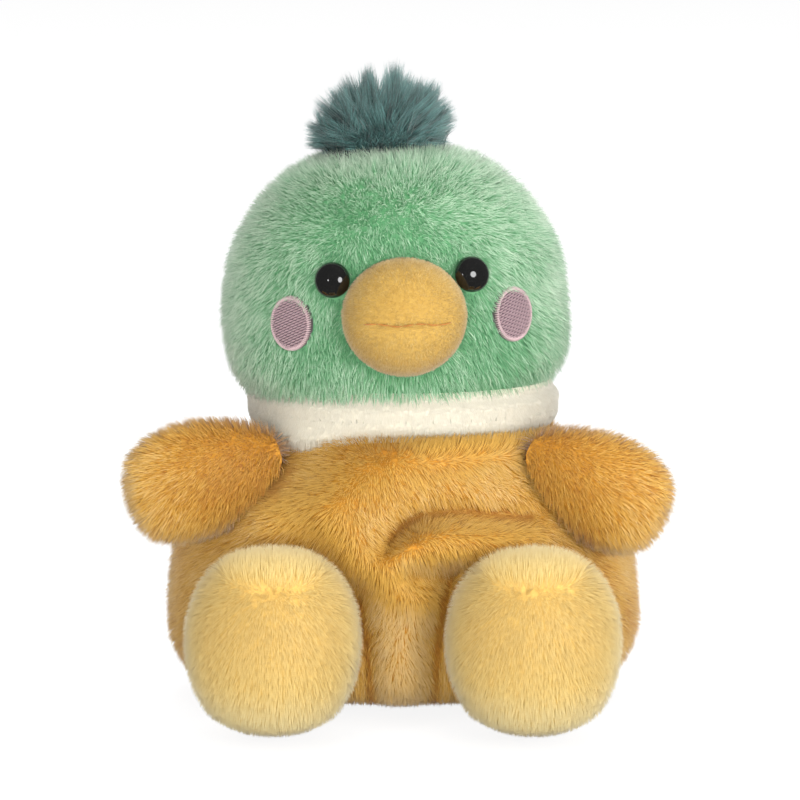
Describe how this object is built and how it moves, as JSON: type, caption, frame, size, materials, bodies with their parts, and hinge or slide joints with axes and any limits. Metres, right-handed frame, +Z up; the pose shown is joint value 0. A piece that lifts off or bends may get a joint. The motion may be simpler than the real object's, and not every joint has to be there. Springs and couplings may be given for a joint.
{
  "type": "plush duck",
  "caption": "Palm-sized sitting plush duck: domed green head with a tuft, collar, puffed beak and domed eyes on a pear-shaped bean-bag body with soft wings, ball feet and a tail.",
  "frame": {"origin": "the middle of the flat seat under the body, on the surface that the duck sits on", "axes": "+Z up; the duck faces -Y; its own left side is at +X"},
  "size_m": [0.1094, 0.1137, 0.1265],
  "materials": {
    "green_plush": "long pile, matt",
    "teal_plush": "very long pile, matt",
    "tan_plush": "long pile, matt",
    "yellow_plush": "long pile, matt",
    "cream_plush": "short pile, matt",
    "orange_velour": "short nap, matt",
    "pink_thread": "satin stitch",
    "brown_thread": "thread",
    "black_plastic": "polished",
    "white_plastic": "moulded",
    "polyester_fill": "loose fibre",
    "pellet_cloth": "plain woven cotton"
  },
  "bodies": {
    "body": {"body_cover": "tan_plush", "body_pellet_bag": "pellet_cloth", "body_stuffing": "polyester_fill"},
    "collar": {"collar": "cream_plush"},
    "neck": {"neck_stuffing": "polyester_fill"},
    "head": {"head_cover": "green_plush", "head_stuffing": "polyester_fill", "tuft": "teal_plush", "eye_left": "black_plastic", "eye_right": "black_plastic", "eye_washer_left": "white_plastic", "eye_washer_right": "white_plastic", "cheek_left": "pink_thread", "cheek_right": "pink_thread", "beak_cover": "orange_velour", "beak_stuffing": "polyester_fill", "mouth_stitch": "brown_thread"},
    "wing_left": {"wing_left_cover": "tan_plush", "wing_left_stuffing": "polyester_fill"},
    "wing_right": {"wing_right_cover": "tan_plush", "wing_right_stuffing": "polyester_fill"},
    "foot_left": {"foot_left_cover": "yellow_plush", "foot_left_stuffing": "polyester_fill"},
    "foot_right": {"foot_right_cover": "yellow_plush", "foot_right_stuffing": "polyester_fill"},
    "tail": {"tail_cover": "tan_plush", "tail_stuffing": "polyester_fill"}
  },
  "joints": [
    {"name": "head_turn", "type": "hinge", "parent": "body", "child": "collar", "pos_m": [0, 0, 0.05855], "axis": [0, 0, 1], "range_deg": [-20, 20], "stiffness_Nm_per_rad": 0.06},
    {"name": "head_nod", "type": "hinge", "parent": "collar", "child": "neck", "pos_m": [0, 0, 0.05855], "axis": [1, 0, 0], "range_deg": [-8, 8], "stiffness_Nm_per_rad": 0.12, "deforming": ["collar"]},
    {"name": "head_lean", "type": "hinge", "parent": "neck", "child": "head", "pos_m": [0, 0, 0.05855], "axis": [0, 1, 0], "range_deg": [-5, 5], "stiffness_Nm_per_rad": 0.12, "deforming": ["neck_stuffing"]},
    {"name": "wing_left_flap", "type": "hinge", "parent": "body", "child": "wing_left", "pos_m": [0.02635, -0.02105, 0.0511], "axis": [0, -1, 0], "range_deg": [0, 30], "stiffness_Nm_per_rad": 0.01},
    {"name": "wing_right_flap", "type": "hinge", "parent": "body", "child": "wing_right", "pos_m": [-0.02635, -0.02105, 0.0511], "axis": [0, 1, 0], "range_deg": [0, 30], "stiffness_Nm_per_rad": 0.01},
    {"name": "foot_left_swing", "type": "hinge", "parent": "body", "child": "foot_left", "pos_m": [0.01813, -0.03569, 0.01704], "axis": [-1, 0, 0], "range_deg": [-10, 28], "stiffness_Nm_per_rad": 0.01},
    {"name": "foot_right_swing", "type": "hinge", "parent": "body", "child": "foot_right", "pos_m": [-0.01813, -0.03569, 0.01704], "axis": [-1, 0, 0], "range_deg": [-10, 28], "stiffness_Nm_per_rad": 0.01},
    {"name": "tail_flick", "type": "hinge", "parent": "body", "child": "tail", "pos_m": [0, 0.03746, 0.01491], "axis": [1, 0, 0], "range_deg": [-18, 18], "stiffness_Nm_per_rad": 0.004}
  ]
}
